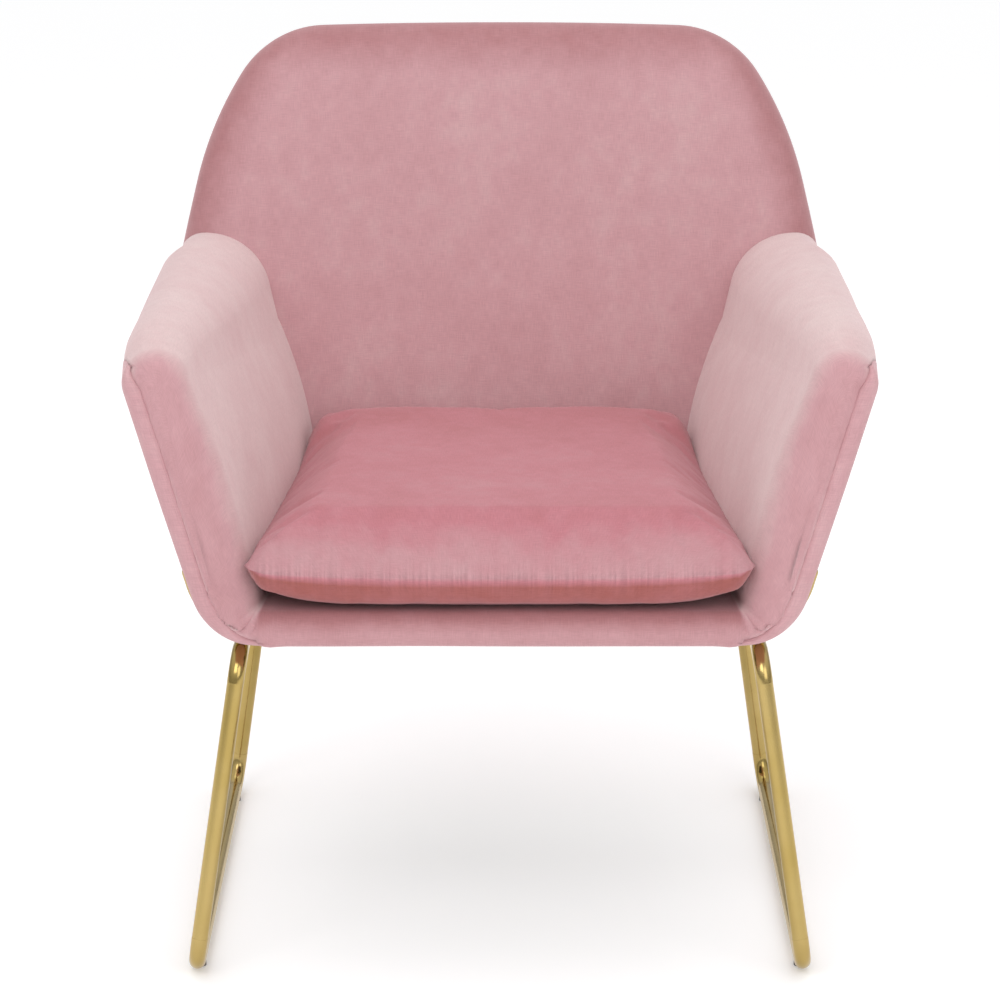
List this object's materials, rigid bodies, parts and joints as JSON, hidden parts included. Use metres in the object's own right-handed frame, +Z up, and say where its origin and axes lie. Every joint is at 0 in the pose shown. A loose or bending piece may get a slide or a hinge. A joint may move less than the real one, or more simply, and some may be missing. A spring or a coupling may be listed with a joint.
{
  "type": "armchair",
  "caption": "Upholstered tub armchair with a loose seat cushion, leaning padded arms and a sled base of bent gold-coloured tube.",
  "frame": {"origin": "on the floor, under the centre of the chair's overall box", "axes": "+Z up, the chair faces -Y, +X is the sitter's left"},
  "size_m": [0.6966, 0.6763, 0.83],
  "materials": {
    "metal": "polished gold-coloured plating on bent steel tube",
    "glides": "matte moulded plastic",
    "fasteners": "zinc plated",
    "timber": "sawn hardwood",
    "plywood": "bare plywood",
    "webbing": "woven elastic",
    "foam": "open-cell foam",
    "velvet": "short-pile velvet",
    "dust_cloth": "non-woven cloth",
    "zip_tape": "woven tape with coil teeth",
    "zip_metal": "plated die casting"
  },
  "bodies": {
    "chair": {"left_leg_loop": "metal", "right_leg_loop": "metal", "front_cradle_tube": "metal", "rear_cradle_tube": "metal", "mounting_plates": "metal", "floor_glides": "glides", "shell_bolts": "fasteners", "bolt_washers": "fasteners", "tee_nuts": "fasteners", "front_rail": "timber", "rear_rail": "timber", "left_side_rail": "timber", "right_side_rail": "timber", "rail_dowels": "timber", "left_arm_panel": "plywood", "right_arm_panel": "plywood", "back_panel": "plywood", "long_webbing": "webbing", "cross_webbing": "webbing", "deck_pad": "foam", "front_rail_pad": "foam", "left_arm_foam": "foam", "right_arm_foam": "foam", "back_foam": "foam", "deck_cover": "velvet", "front_rail_cover": "velvet", "left_arm_cover": "velvet", "right_arm_cover": "velvet", "left_side_cover": "velvet", "right_side_cover": "velvet", "inner_back_cover": "velvet", "outer_back_cover": "velvet", "dust_cover": "dust_cloth"},
    "seat_cushion": {"cushion_foam": "foam", "cushion_top_cover": "velvet", "cushion_bottom_cover": "velvet", "cushion_zip": "zip_tape"},
    "zip_slider": {"zip_slider": "zip_metal"}
  },
  "joints": [
    {"name": "cushion_lift", "type": "slide", "parent": "chair", "child": "seat_cushion", "axis": [0, 0, 1], "range_m": [0, 0.25]},
    {"name": "zip_slide", "type": "slide", "parent": "seat_cushion", "child": "zip_slider", "axis": [1, 0, 0], "range_m": [0, 0.324]}
  ]
}
